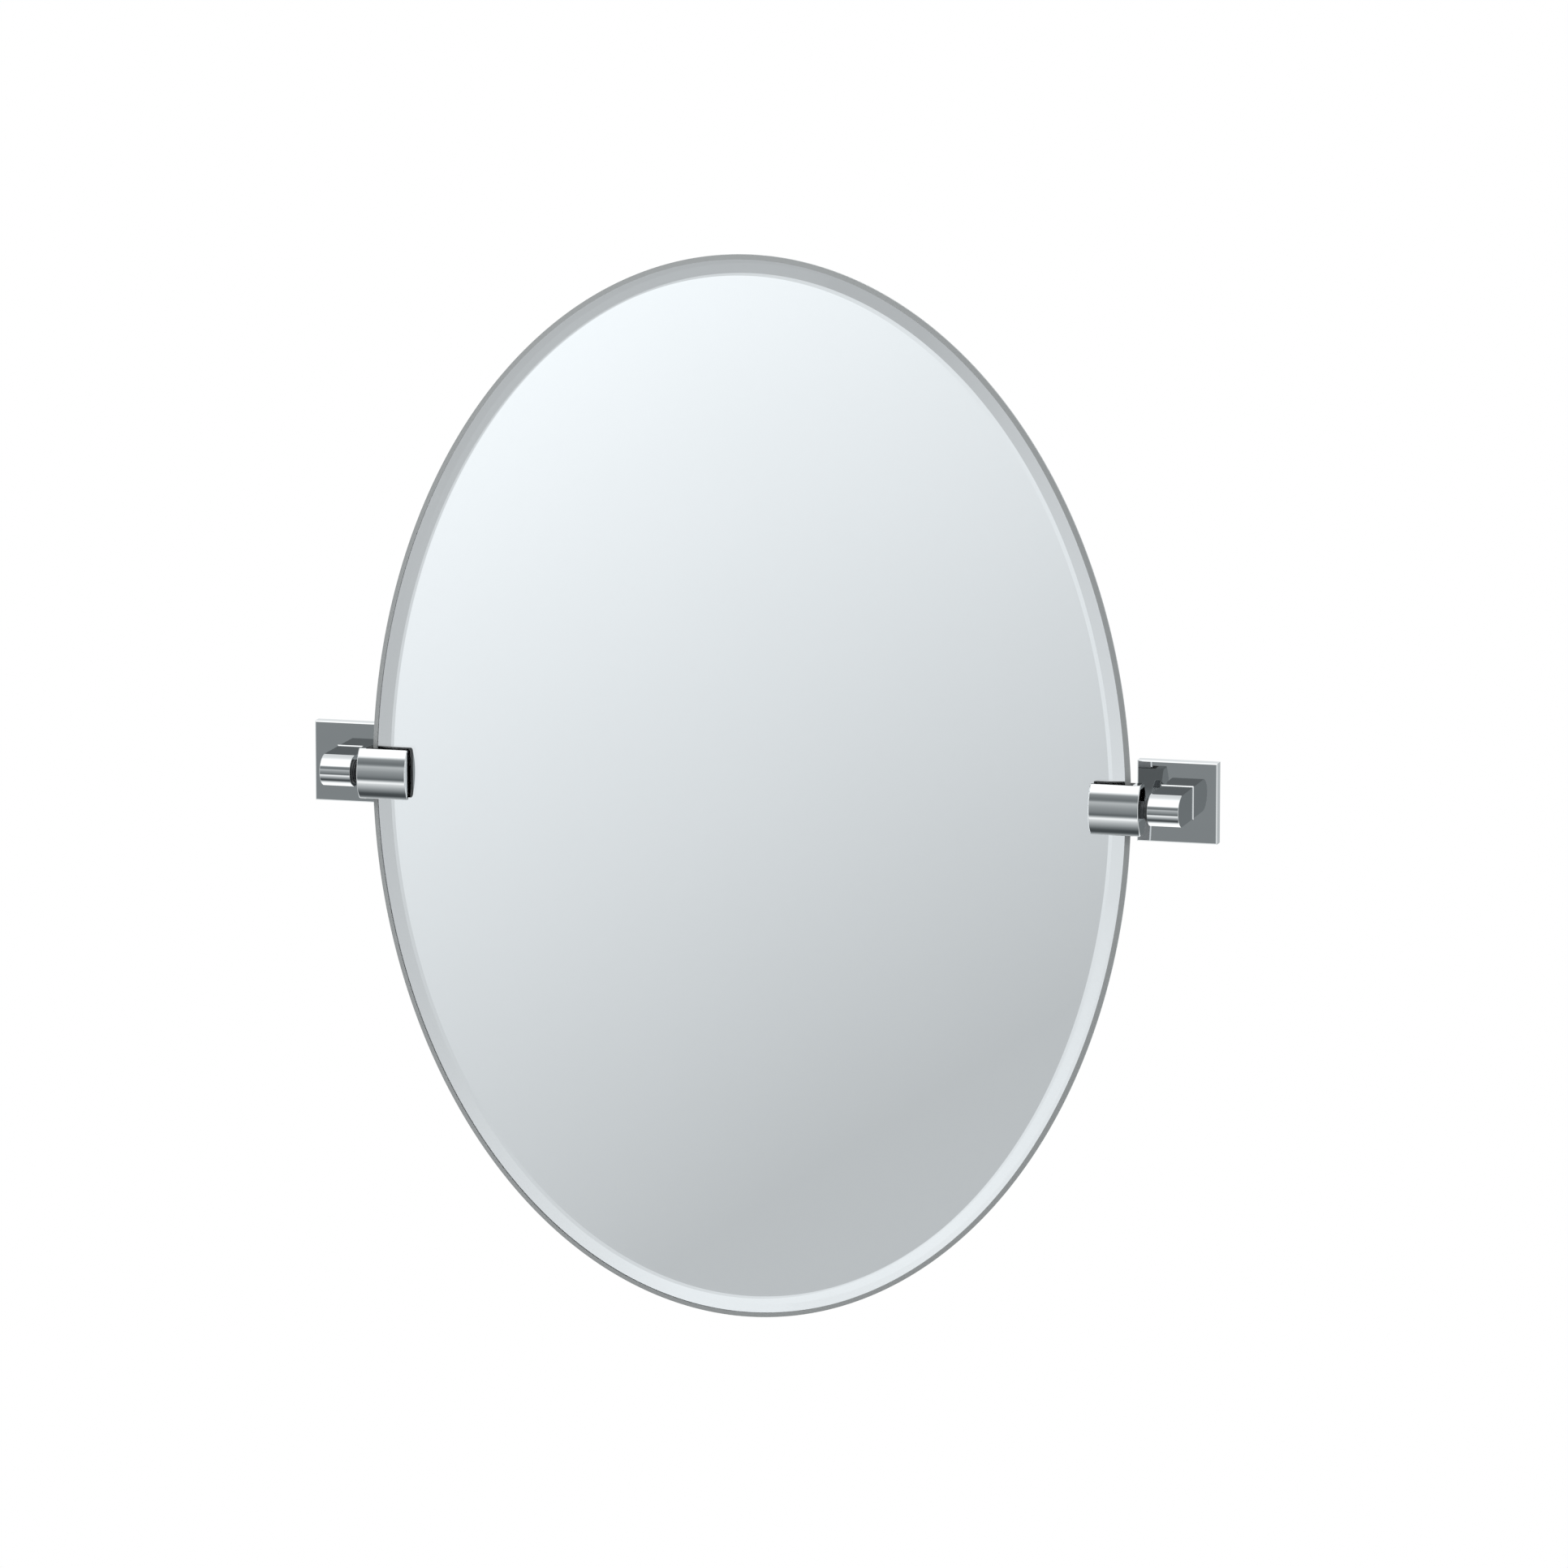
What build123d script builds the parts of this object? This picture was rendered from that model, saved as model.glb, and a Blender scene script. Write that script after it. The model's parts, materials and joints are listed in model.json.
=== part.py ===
"""Oval pivot wall mirror: a bevelled glass pane held by two slotted clamps that turn between two wall posts.

Frame, in millimetres: +Z up, +X to the right as the viewer sees it. The wall is the plane Y = 0 and the
room is on its -Y side. The origin is on the wall, midway between the two brackets, at the pivot's height.
Each paired piece is modelled once, on the right-hand (+X) side, and mirrored for the left-hand side.
"""
import os

from build123d import *

# ---- Driving dimensions -------------------------------------------------------------------------
# Mirror pane
mirror_width = 490.0
mirror_height = 673.0
glass_thickness = 5.0
backing_thickness = 0.2
backing_inset = 1.0  # the backing stops short of the glass edge
bevel_width = 12.7  # from the flat face to the glass edge, arris included
arris_width = 3.0  # steeper ground strip along the very edge
arris_inner_height = 2.6  # glass left where the bevel meets the arris
edge_height = 1.5  # upright ground edge

# Clamp that grips the glass
clamp_height = 32.0
clamp_depth = 22.0
clamp_face_radius = 24.0  # shallow curve of the front and back faces
clamp_corner_fillet = 1.2
clamp_grip = 24.5  # how far the clamp covers the glass, inwards from its edge
clamp_end_wall = 4.9
clamp_rim_fillet = 0.9
gasket_wall = 2.4
gasket_recess = 0.3  # the rubber stands below the clamp's surface
glass_end_clearance = 0.2

# Pressure plate and its grub screws, in the clamp's back jaw
pressure_plate_length = 18.0
pressure_plate_height = 12.0
pressure_plate_thickness = 1.2
clamp_screw_diameter = 5.0
clamp_screw_recess = 1.0  # below the clamp's surface
clamp_screw_pitch = 10.0
clamp_screw_socket = 2.5

# Pivot between clamp and post
pin_diameter = 7.0
pin_thread_diameter = 6.0
pin_collar_diameter = 11.0
pin_collar_thickness = 2.0
pin_reach = 11.0  # length of the pin inside the post
pin_tip_chamfer = 0.6
pin_running_clearance = 0.05
bush_outer_diameter = 10.0
bush_length = 12.0  # sleeve inside the post
bush_flange_diameter = 15.0
bush_flange_thickness = 1.5
bush_end_gap = 1.0
spring_outer_diameter = 13.0
spring_thickness = 0.6
spring_height = 1.2
pivot_running_gap = 0.1

# Post: a square bar with a rounded nose
post_width = 20.0
post_height = 19.5
post_edge_fillet = 0.4
post_root_flare = 1.0  # sloping foot where the post stands on the base plate
pivot_to_plate = 31.0
nose_length = 12.0  # half an ellipse, from the flat top to the tip
nose_reach = 8.75  # tip ahead of the pivot axis
spigot_size = 12.0  # square tongue that keeps the post from turning in the plate
spigot_shortfall = 0.2

# Base plate: a square cover over the wall bracket
plate_size = 51.0
plate_thickness = 8.0
plate_front_wall = 3.0
plate_side_wall = 3.0
plate_bottom_wall = 5.0
plate_front_chamfer = 0.7

# Screw and washer that pull the post against the plate
post_screw_diameter = 5.0
post_screw_length = 18.0
post_screw_head_diameter = 9.5
post_screw_head_height = 2.4
post_screw_socket = 3.0
post_screw_socket_depth = 1.6
post_washer_diameter = 17.0
post_washer_thickness = 1.2
tapped_hole_extra = 1.5

# Wall bracket inside the base plate
bracket_width = 38.0
bracket_thickness = 3.5
bracket_top = 20.2
bracket_bottom = 18.0
bracket_undercut = 2.0  # slope of the top edge, which the plate hooks over
bracket_corner_radius = 2.0
bracket_window_diameter = 13.0
wall_hole_diameter = 4.5
wall_hole_spacing = 25.0
wall_hole_countersink = 8.4
hook_gap = 0.15

# Grub screw that locks the base plate to the bracket
lock_screw_diameter = 4.0
lock_screw_from_wall = 3.0
lock_screw_recess = 0.4
lock_screw_socket = 2.0
lock_screw_point_height = 1.0
lock_screw_point_diameter = 2.0

grub_socket_depth = 2.0
fit_clearance = 0.1  # all round a fixed fit
thread_clearance = 0.05

# ---- Places that follow from the sizes ----------------------------------------------------------
pivot_y = -(plate_thickness + pivot_to_plate)
pane_thickness = glass_thickness + backing_thickness
pane_front_y = pivot_y - pane_thickness / 2
glass_back_y = pane_front_y + glass_thickness
pane_back_y = pane_front_y + pane_thickness
slot_width = pane_thickness + 2 * gasket_wall
slot_back_y = pivot_y + slot_width / 2

glass_edge_x = mirror_width / 2
gasket_end_x = glass_edge_x + glass_end_clearance
slot_end_x = gasket_end_x + gasket_wall
clamp_inner_x = glass_edge_x - clamp_grip
clamp_outer_x = slot_end_x + clamp_end_wall
clamp_screw_x = (clamp_inner_x + glass_edge_x) / 2
spring_x = clamp_outer_x + pin_collar_thickness
flange_x = spring_x + spring_height + pivot_running_gap
post_inner_x = flange_x + bush_flange_thickness
bracket_x = post_inner_x + post_width / 2
cavity_y = -(plate_thickness - plate_front_wall)

os.makedirs("parts", exist_ok=True)


def upright(x, y):
    """Plane parallel to the wall, seen from the room: positive extrusions grow into the room."""
    return Plane(origin=(x, y, 0), x_dir=(1, 0, 0), z_dir=(0, -1, 0))


def across(x, y=0.0):
    """Plane square to the X axis: its own x runs towards the wall, its y up, and extrusions grow along +X."""
    return Plane(origin=(x, y, 0), x_dir=(0, 1, 0), z_dir=(1, 0, 0))


def on_pivot(x):
    """Plane square to the pivot axis and centred on it."""
    return across(x, pivot_y)


def export_node(piece, name):
    """Label one finished piece and write it as a node of its own."""
    piece.label = name
    export_step(piece, f"parts/{name}.step")


def export_pair(piece, name):
    """Write a right-hand piece and, as its mirror image, the left-hand one."""
    export_node(piece, f"right_{name}")
    export_node(mirror(piece, about=Plane.YZ), f"left_{name}")


# ---- Mirror pane --------------------------------------------------------------------------------
def oval(inset):
    """Half width and half height of the pane's outline, set in from the glass edge."""
    return mirror_width / 2 - inset, mirror_height / 2 - inset


glass_back = upright(0, glass_back_y)
with BuildPart() as mirror_glass:
    with BuildSketch(glass_back):
        Ellipse(*oval(0))
    extrude(amount=edge_height)
    with BuildSketch(glass_back.offset(edge_height)):
        Ellipse(*oval(0))
    with BuildSketch(glass_back.offset(arris_inner_height)):
        Ellipse(*oval(arris_width))
    loft(ruled=True)
    with BuildSketch(glass_back.offset(arris_inner_height)):
        Ellipse(*oval(arris_width))
    with BuildSketch(glass_back.offset(glass_thickness)):
        Ellipse(*oval(bevel_width))
    loft(ruled=True)
export_node(mirror_glass.part, "mirror_glass")

with BuildPart() as mirror_backing:
    with BuildSketch(glass_back):
        Ellipse(*oval(backing_inset))
    extrude(amount=-backing_thickness)
export_node(mirror_backing.part, "mirror_backing")

# ---- Clamp, gasket and pressure plate -----------------------------------------------------------
clamp_length = clamp_outer_x - clamp_inner_x
slot_length = slot_end_x - clamp_inner_x
screw_seat_y = slot_back_y + pressure_plate_thickness
clamp_screw_end_y = pivot_y + clamp_depth / 2 - clamp_screw_recess


def clamp_section(recess):
    """Section of the clamp, a recess below its surface: two shallow arcs between a flat top and a flat bottom."""
    arc_centre = clamp_face_radius - clamp_depth / 2
    with Locations((arc_centre, 0)):
        Circle(clamp_face_radius - recess)
    with Locations((-arc_centre, 0)):
        Circle(clamp_face_radius - recess, mode=Mode.INTERSECT)
    Rectangle(clamp_depth, clamp_height - 2 * recess, mode=Mode.INTERSECT)


with BuildPart() as clamp:
    with BuildSketch(on_pivot(clamp_inner_x)):
        clamp_section(0)
    extrude(amount=clamp_length)
    fillet(clamp.edges().filter_by(Axis.X), clamp_corner_fillet)
    fillet(clamp.faces().filter_by(Axis.X).edges(), clamp_rim_fillet)
    with BuildSketch(on_pivot(clamp_inner_x)):
        Rectangle(slot_width, clamp_height)
    extrude(amount=slot_length, mode=Mode.SUBTRACT)
    with BuildSketch(upright(clamp_screw_x, slot_back_y)):
        Rectangle(pressure_plate_length + 2 * fit_clearance, pressure_plate_height + 2 * fit_clearance)
    extrude(amount=-pressure_plate_thickness, mode=Mode.SUBTRACT)
    with BuildSketch(upright(clamp_screw_x, screw_seat_y)):
        with GridLocations(clamp_screw_pitch, 0, 2, 1):
            Circle(clamp_screw_diameter / 2 + thread_clearance)
    extrude(amount=-clamp_depth / 2, mode=Mode.SUBTRACT)
    with BuildSketch(on_pivot(slot_end_x)):
        Circle(pin_thread_diameter / 2 + thread_clearance)
    extrude(amount=clamp_end_wall, mode=Mode.SUBTRACT)
export_pair(clamp.part, "clamp")

with BuildPart() as clamp_gasket:
    with BuildSketch(on_pivot(clamp_inner_x + gasket_recess)):
        clamp_section(gasket_recess)
        Rectangle(slot_width, clamp_height, mode=Mode.INTERSECT)
    extrude(amount=slot_length - gasket_recess)
    with BuildSketch(on_pivot(clamp_inner_x)):
        Rectangle(pane_thickness, clamp_height)
    extrude(amount=gasket_end_x - clamp_inner_x, mode=Mode.SUBTRACT)
export_pair(clamp_gasket.part, "clamp_gasket")

with BuildPart() as pressure_plate:
    with BuildSketch(upright(clamp_screw_x, slot_back_y)):
        Rectangle(pressure_plate_length, pressure_plate_height)
    extrude(amount=-pressure_plate_thickness)
export_pair(pressure_plate.part, "pressure_plate")

with BuildPart() as clamp_screws:
    with BuildSketch(upright(clamp_screw_x, screw_seat_y)):
        with GridLocations(clamp_screw_pitch, 0, 2, 1):
            Circle(clamp_screw_diameter / 2)
    extrude(amount=screw_seat_y - clamp_screw_end_y)
    with BuildSketch(upright(clamp_screw_x, clamp_screw_end_y)):
        with GridLocations(clamp_screw_pitch, 0, 2, 1):
            RegularPolygon(clamp_screw_socket / 2, 6, major_radius=False)
    extrude(amount=grub_socket_depth, mode=Mode.SUBTRACT)
export_pair(clamp_screws.part, "clamp_screws")

# ---- Pivot pin, spring washer and bush ----------------------------------------------------------
with BuildPart() as pivot_pin:
    with BuildSketch(on_pivot(slot_end_x + fit_clearance)):
        Circle(pin_thread_diameter / 2)
    extrude(amount=clamp_outer_x - slot_end_x - fit_clearance)
    with BuildSketch(on_pivot(clamp_outer_x)):
        Circle(pin_collar_diameter / 2)
    extrude(amount=pin_collar_thickness)
    with BuildSketch(on_pivot(spring_x)):
        Circle(pin_diameter / 2)
    extrude(amount=post_inner_x + pin_reach - spring_x)
    chamfer(pivot_pin.faces().sort_by(Axis.X)[-1].edges(), pin_tip_chamfer)
export_pair(pivot_pin.part, "pivot_pin")

spring_inner_radius = pin_diameter / 2 + fit_clearance
spring_outer_radius = spring_outer_diameter / 2
with BuildPart() as spring_washer:
    with BuildSketch(upright(spring_x, pivot_y)):
        with BuildLine():
            Polyline(
                (0, spring_inner_radius),
                (spring_thickness, spring_inner_radius),
                (spring_height, spring_outer_radius),
                (spring_height - spring_thickness, spring_outer_radius),
                close=True,
            )
        make_face()
    revolve(axis=Axis((0, pivot_y, 0), (1, 0, 0)))
export_pair(spring_washer.part, "spring_washer")

with BuildPart() as pivot_bush:
    with BuildSketch(on_pivot(flange_x)):
        Circle(bush_flange_diameter / 2)
    extrude(amount=bush_flange_thickness)
    with BuildSketch(on_pivot(post_inner_x)):
        Circle(bush_outer_diameter / 2)
    extrude(amount=bush_length)
    with BuildSketch(on_pivot(flange_x)):
        Circle(pin_diameter / 2 + pin_running_clearance)
    extrude(amount=bush_flange_thickness + bush_length, mode=Mode.SUBTRACT)
export_pair(pivot_bush.part, "pivot_bush")

# ---- Post ---------------------------------------------------------------------------------------
nose_start = nose_length - nose_reach
bar_length = pivot_to_plate - nose_start
root_size = 2 * post_root_flare
spigot_length = plate_front_wall - spigot_shortfall
screw_head_y = cavity_y + post_washer_thickness
screw_tip_y = screw_head_y - post_screw_length

with BuildPart() as post:
    with BuildSketch(on_pivot(post_inner_x)):
        with Locations((nose_start, 0)):
            Ellipse(nose_length, post_height / 2)
            Rectangle(bar_length, post_height, align=(Align.MIN, Align.CENTER))
    extrude(amount=post_width)
    fillet(post.faces().filter_by(Axis.X).edges(), post_edge_fillet)
    with BuildSketch(upright(bracket_x, -plate_thickness)):
        Rectangle(post_width + root_size, post_height + root_size)
    extrude(amount=post_root_flare, taper=45)
    with BuildSketch(upright(bracket_x, -plate_thickness)):
        Rectangle(spigot_size, spigot_size)
    extrude(amount=-spigot_length)
    with BuildSketch(upright(bracket_x, screw_tip_y - tapped_hole_extra)):
        Circle(post_screw_diameter / 2 + thread_clearance)
    extrude(amount=screw_tip_y - tapped_hole_extra, mode=Mode.SUBTRACT)
    with BuildSketch(on_pivot(post_inner_x)):
        Circle(bush_outer_diameter / 2)
    extrude(amount=bush_length + bush_end_gap, mode=Mode.SUBTRACT)
export_pair(post.part, "post")

with BuildPart() as post_screw:
    with BuildSketch(upright(bracket_x, screw_head_y + post_screw_head_height)):
        Circle(post_screw_head_diameter / 2)
    extrude(amount=post_screw_head_height)
    with BuildSketch(upright(bracket_x, screw_head_y)):
        Circle(post_screw_diameter / 2)
    extrude(amount=post_screw_length)
    with BuildSketch(upright(bracket_x, screw_head_y + post_screw_head_height)):
        RegularPolygon(post_screw_socket / 2, 6, major_radius=False)
    extrude(amount=post_screw_socket_depth, mode=Mode.SUBTRACT)
export_pair(post_screw.part, "post_screw")

with BuildPart() as post_washer:
    with BuildSketch(upright(bracket_x, cavity_y)):
        Circle(post_washer_diameter / 2)
        Circle(post_screw_diameter / 2 + fit_clearance, mode=Mode.SUBTRACT)
    extrude(amount=-post_washer_thickness)
export_pair(post_washer.part, "post_washer")

# ---- Base plate ---------------------------------------------------------------------------------
plate_half = plate_size / 2
cavity_half_width = plate_half - plate_side_wall
cavity_top = plate_half - plate_side_wall
cavity_bottom = plate_bottom_wall - plate_half
hook_top = bracket_top + hook_gap
lock_screw_y = -lock_screw_from_wall

with BuildPart() as base_plate:
    with BuildSketch(upright(bracket_x, 0)):
        Rectangle(plate_size, plate_size)
    extrude(amount=plate_thickness)
    chamfer(base_plate.faces().sort_by(Axis.Y)[0].edges(), plate_front_chamfer)
    with BuildSketch(across(bracket_x - cavity_half_width)):
        with BuildLine():
            Polyline(
                (0, cavity_bottom),
                (0, hook_top - bracket_undercut),
                (-bracket_thickness, hook_top),
                (-bracket_thickness, cavity_top),
                (cavity_y, cavity_top),
                (cavity_y, cavity_bottom),
                close=True,
            )
        make_face()
    extrude(amount=2 * cavity_half_width, mode=Mode.SUBTRACT)
    with BuildSketch(upright(bracket_x, cavity_y)):
        Rectangle(spigot_size + 2 * fit_clearance, spigot_size + 2 * fit_clearance)
    extrude(amount=plate_front_wall, mode=Mode.SUBTRACT)
    with BuildSketch(Plane.XY.offset(-plate_half)):
        with Locations((bracket_x, lock_screw_y)):
            Circle(lock_screw_diameter / 2 + thread_clearance)
    extrude(amount=plate_bottom_wall, mode=Mode.SUBTRACT)
export_pair(base_plate.part, "base_plate")

lock_screw_bottom = lock_screw_recess - plate_half
lock_screw_length = -bracket_bottom - lock_screw_bottom
with BuildPart() as lock_screw:
    with BuildSketch(Plane.XY.offset(lock_screw_bottom)):
        with Locations((bracket_x, lock_screw_y)):
            Circle(lock_screw_diameter / 2)
    extrude(amount=lock_screw_length)
    chamfer(
        lock_screw.faces().sort_by(Axis.Z)[-1].edges(),
        lock_screw_point_height,
        (lock_screw_diameter - lock_screw_point_diameter) / 2,
    )
    with BuildSketch(Plane.XY.offset(lock_screw_bottom)):
        with Locations((bracket_x, lock_screw_y)):
            RegularPolygon(lock_screw_socket / 2, 6, major_radius=False)
    extrude(amount=grub_socket_depth, mode=Mode.SUBTRACT)
export_pair(lock_screw.part, "lock_screw")

# ---- Wall bracket -------------------------------------------------------------------------------
with BuildPart() as wall_bracket:
    with BuildSketch(across(bracket_x - bracket_width / 2)):
        with BuildLine():
            Polyline(
                (0, -bracket_bottom),
                (0, bracket_top - bracket_undercut),
                (-bracket_thickness, bracket_top),
                (-bracket_thickness, -bracket_bottom),
                close=True,
            )
        make_face()
    extrude(amount=bracket_width)
    fillet(wall_bracket.edges().filter_by(Axis.Y), bracket_corner_radius)
    with Locations(upright(bracket_x, -bracket_thickness)):
        Hole(bracket_window_diameter / 2)
        with GridLocations(0, wall_hole_spacing, 1, 2):
            CounterSinkHole(wall_hole_diameter / 2, wall_hole_countersink / 2)
export_pair(wall_bracket.part, "wall_bracket")
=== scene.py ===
# %% [markdown]
# # Oval pivot wall mirror
# A bevelled oval pane of silvered glass hangs between two chrome brackets. A short slotted clamp grips each
# side of the glass, and a pin in the clamp turns in a post that stands on a square plate on the wall.
# The sizes and places come from the frame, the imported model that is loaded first. Everything here is in
# metres: +Z is up, -Y points into the room and the wall is the plane Y = 0.

# %% Load the frame
import json
import math

import bpy
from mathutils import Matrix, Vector


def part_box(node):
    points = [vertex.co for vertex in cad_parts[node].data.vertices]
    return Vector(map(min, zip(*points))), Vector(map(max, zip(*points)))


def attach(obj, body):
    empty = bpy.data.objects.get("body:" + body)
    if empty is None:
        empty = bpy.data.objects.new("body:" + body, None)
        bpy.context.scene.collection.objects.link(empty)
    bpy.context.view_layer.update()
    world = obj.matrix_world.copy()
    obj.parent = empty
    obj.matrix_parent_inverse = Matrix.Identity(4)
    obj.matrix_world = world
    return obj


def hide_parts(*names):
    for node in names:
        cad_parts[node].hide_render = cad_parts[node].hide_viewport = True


for start_up in ("Cube", "Camera", "Light"):
    if start_up in bpy.data.objects:
        bpy.data.objects.remove(bpy.data.objects[start_up])
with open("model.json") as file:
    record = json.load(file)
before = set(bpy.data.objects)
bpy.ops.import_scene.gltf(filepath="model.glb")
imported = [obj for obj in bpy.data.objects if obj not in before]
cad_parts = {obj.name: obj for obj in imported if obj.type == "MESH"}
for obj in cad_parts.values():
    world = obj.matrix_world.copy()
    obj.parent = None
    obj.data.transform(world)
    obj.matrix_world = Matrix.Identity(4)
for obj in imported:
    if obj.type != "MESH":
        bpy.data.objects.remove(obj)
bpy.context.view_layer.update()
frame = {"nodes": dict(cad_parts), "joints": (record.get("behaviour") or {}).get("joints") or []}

# %% The pivot
MM = 0.001
SIDES = {"left": -1, "right": 1}
pivot = Vector(frame["joints"][0]["pos_m"])
print("pivot axis at", tuple(round(v, 4) for v in pivot))

# %% [markdown]
# ## The camera
# The camera stands a little to the right of the mirror and a little above it. A short lens close by would
# fill the frame too, but it would swell the near side of the oval. A long lens a few metres off keeps the
# oval true. It looks along a line that passes just beside the middle of the glass.

# %% Camera
CAMERA_AZIMUTH = math.radians(15.278)
CAMERA_ELEVATION = math.radians(10.324)
CAMERA_DISTANCE = 6.60585
CAMERA_ASIDE = 0.02245
CAMERA_RAISED = 0.00409
AIM_BACK = 1.8 * MM
LENS_MM = 243.35
SENSOR_MM = 36
CLIP_END = 60
glass_low, glass_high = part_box("mirror_glass")
look_at = Vector((0, (glass_low.y + pivot.y) / 2 + AIM_BACK, 0))
back = Vector((
    math.sin(CAMERA_AZIMUTH) * math.cos(CAMERA_ELEVATION),
    -math.cos(CAMERA_AZIMUTH) * math.cos(CAMERA_ELEVATION),
    math.sin(CAMERA_ELEVATION),
))
rightwards = Vector((math.cos(CAMERA_AZIMUTH), math.sin(CAMERA_AZIMUTH), 0))
upwards = back.cross(rightwards)
camera = bpy.data.objects.new("camera", bpy.data.cameras.new("camera"))
bpy.context.scene.collection.objects.link(camera)
camera.data.lens = LENS_MM
camera.data.sensor_width = SENSOR_MM
camera.data.clip_end = CLIP_END
camera.location = look_at + back * CAMERA_DISTANCE + rightwards * CAMERA_ASIDE + upwards * CAMERA_RAISED
camera.rotation_mode = "QUATERNION"
camera.rotation_quaternion = (-back).to_track_quat("-Z", "Y")
bpy.context.scene.camera = camera
bpy.context.scene.view_settings.view_transform = "Standard"
print("camera at", tuple(round(v, 3) for v in camera.location))

# %% [markdown]
# ## Nodes in few words
# The room and the finishes are trees of nodes. Each node could be placed and wired in lines of its own, but
# that hides what the tree works out. These helpers add a node, give its inputs either a plain value or
# another node's output, and return the output, so that a tree reads like a calculation.


# %% Node helpers
def node(tree, kind, at, **settings):
    """Add a node at a place in the tree and set its properties."""
    made = tree.nodes.new(kind)
    made.location = at
    for key, value in settings.items():
        setattr(made, key, value)
    return made


def feed(tree, socket, part):
    """Give an input another node's output, or a plain number, vector or colour."""
    if isinstance(part, bpy.types.NodeSocket):
        tree.links.new(part, socket)
    else:
        socket.default_value = part


def reckon(tree, at, operation, *parts):
    """Arithmetic on numbers."""
    made = node(tree, "ShaderNodeMath", at, operation=operation)
    for socket, part in zip(made.inputs, parts):
        feed(tree, socket, part)
    return made.outputs[0]


def reckon_vector(tree, at, operation, *parts):
    """Arithmetic on vectors. It returns the node, whose result can be a vector or a number."""
    made = node(tree, "ShaderNodeVectorMath", at, operation=operation)
    for socket, part in zip(made.inputs, parts):
        feed(tree, socket, part)
    return made


def reach(tree, at, value, old=(0, 1), new=(0, 1), **settings):
    """Take a value from its old range to a new one, and keep it in there."""
    made = node(tree, "ShaderNodeMapRange", at, **settings)
    parts = (value, *old, *new)
    for name, part in zip(("Value", "From Min", "From Max", "To Min", "To Max"), parts):
        feed(tree, made.inputs[name], part)
    return made.outputs["Result"]


def mix(tree, at, factor, first, second, data_type="RGBA"):
    """Blend two colours, or two numbers."""
    made = node(tree, "ShaderNodeMix", at, data_type=data_type)
    for name, part in zip(("Factor", "A", "B"), (factor, first, second)):
        feed(tree, made.inputs[name], part)
    return made.outputs["Result"]


# %% [markdown]
# ## The studio
# Polished chrome has no look of its own: it shows the room. In a studio, long soft boxes and dark gaps run
# from side to side, parallel to the pivot axis, and give round chrome its crisp stripes. Lamps and cards
# could be set up for each of them. A world that is bright and dark in bands does the same with less, and
# every stripe has its own stops to adjust. So the world is a ramp over the angle at which one looks up or
# down across the pivot axis, from the wall below, past the front, to the wall above. From overhead back to
# the wall it is dimmer again, or the flat tops of posts and plates would be as white as the backdrop.

# %% Bands of the studio
# Each stop is (angle in degrees, light). 0 looks straight out of the wall, 90 straight up.
STUDIO_STOPS = (
    (-160, 0.6), (-150, 1.4), (-106, 1.4), (-91, 0.6), (-84, 0.22), (-79, 0.09), (-70, 0.11), (-60, 0.30),
    (-46, 0.66), (-38, 0.94), (-34, 1.32), (-31, 1.15), (-27.5, 0.64), (-25, 0.35), (-21.5, 0.17),
    (-13, 0.30), (0, 0.415), (10, 0.58), (14.5, 0.67), (17, 0.57), (19.5, 0.40), (22, 0.28), (25, 0.235),
    (30, 0.27), (37, 0.36), (39.7, 0.48), (42, 0.83), (45, 1.2), (47, 1.5),
    (96, 1.5), (113, 1.08), (130, 0.95),
)
STUDIO_PEAK = 1.5
COOL_SHARES = (0.945, 0.985, 1)  # how much of a light is red, green and blue
COOL_POWERS = (1.065, 1.02, 1)  # above 1, that part fades sooner than the light itself


def cool(light):
    """A grey that is a little bluer the darker it is, as a fraction of the studio's peak."""
    return tuple(share * light ** power / STUDIO_PEAK for share, power in zip(COOL_SHARES, COOL_POWERS))


def stops(ramp, pairs):
    """Fill a colour ramp's node with (position, colour) pairs."""
    points = ramp.color_ramp.elements
    while len(points) > 1:
        points.remove(points[-1])
    for number, (position, colour) in enumerate(pairs):
        point = points[0] if number == 0 else points.new(position)
        point.position = position
        point.color = (*colour, 1)


# %% World of bands
world = bpy.data.worlds.new("studio")
bpy.context.scene.world = world
world.use_nodes = True
sky = world.node_tree
sky.nodes.clear()
direction = node(sky, "ShaderNodeSeparateXYZ", (-1000, 0))
feed(sky, direction.inputs[0], node(sky, "ShaderNodeTexCoord", (-1200, 0)).outputs["Generated"])
outwards = reckon(sky, (-800, -100), "MULTIPLY", direction.outputs["Y"], -1)
angle = reckon(sky, (-600, 0), "ARCTAN2", direction.outputs["Z"], outwards)
bands = node(sky, "ShaderNodeValToRGB", (-200, 0))
stops(bands, [((degrees + 180) / 360, cool(light)) for degrees, light in STUDIO_STOPS])
feed(sky, bands.inputs[0], reach(sky, (-400, 0), angle, (-math.pi, math.pi)))
print("studio world:", len(STUDIO_STOPS), "stops")

# %% [markdown]
# ### The ends of the room
# Seen along the pivot axis, all bands would run together in one point. So an even soft box closes each end
# of the room, and the ends of clamps and posts show it. In the middle of each box is a darker gap, which
# makes those flat ends read as metal from the side.

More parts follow.
